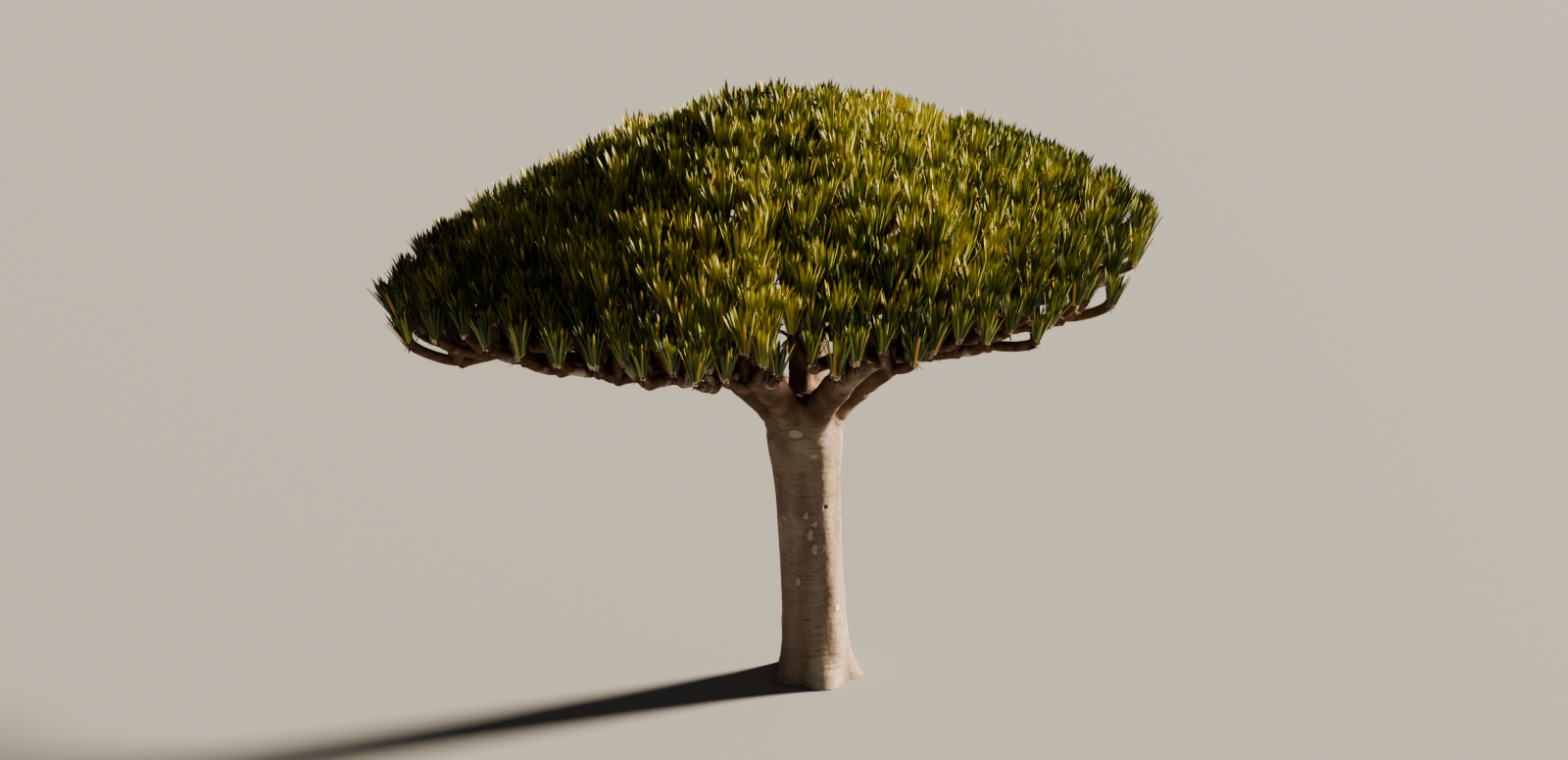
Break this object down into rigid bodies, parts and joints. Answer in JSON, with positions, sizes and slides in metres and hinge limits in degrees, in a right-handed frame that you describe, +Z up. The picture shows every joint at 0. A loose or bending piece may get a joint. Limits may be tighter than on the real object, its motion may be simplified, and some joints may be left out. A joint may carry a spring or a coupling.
{
  "type": "dragon blood tree",
  "caption": "Stout-trunked tree whose boughs fork again and again into a shallow umbrella crown of upright sword-leaf rosettes.",
  "frame": {"origin": "middle of the flat cut under the trunk, at ground level", "axes": "+Z up, +X to the right as the picture shows the tree, +Y away from the viewer"},
  "size_m": [6.0302, 6.3754, 4.8184],
  "materials": {
    "bark": "matt grey-tan bark with ring creases, old leaf scars and pale patches",
    "leaf": "stiff sword leaves, yellow-green to deep green with a soft waxy sheen, a few dry red-brown"
  },
  "bodies": {
    "root": {"trunk": "bark", "bough_centre": "bark", "bough_1": "bark", "bough_2": "bark", "bough_3": "bark", "bough_4": "bark", "bough_5": "bark", "bough_6": "bark", "limb_inner_1": "bark", "limb_inner_2": "bark", "limb_inner_3": "bark", "limb_inner_4": "bark", "limb_inner_5": "bark", "limb_inner_6": "bark", "limb_outer_1": "bark", "limb_outer_2": "bark", "limb_outer_3": "bark", "limb_outer_4": "bark", "limb_outer_5": "bark", "limb_outer_6": "bark", "limb_outer_7": "bark", "limb_outer_8": "bark", "limb_outer_9": "bark", "limb_outer_10": "bark", "limb_outer_11": "bark", "limb_outer_12": "bark", "foliage_centre": "leaf", "foliage_inner_1": "leaf", "foliage_inner_2": "leaf", "foliage_inner_3": "leaf", "foliage_inner_4": "leaf", "foliage_inner_5": "leaf", "foliage_inner_6": "leaf", "foliage_outer_1": "leaf", "foliage_outer_2": "leaf", "foliage_outer_3": "leaf", "foliage_outer_4": "leaf", "foliage_outer_5": "leaf", "foliage_outer_6": "leaf", "foliage_outer_7": "leaf", "foliage_outer_8": "leaf", "foliage_outer_9": "leaf", "foliage_outer_10": "leaf", "foliage_outer_11": "leaf", "foliage_outer_12": "leaf"}
  },
  "joints": []
}
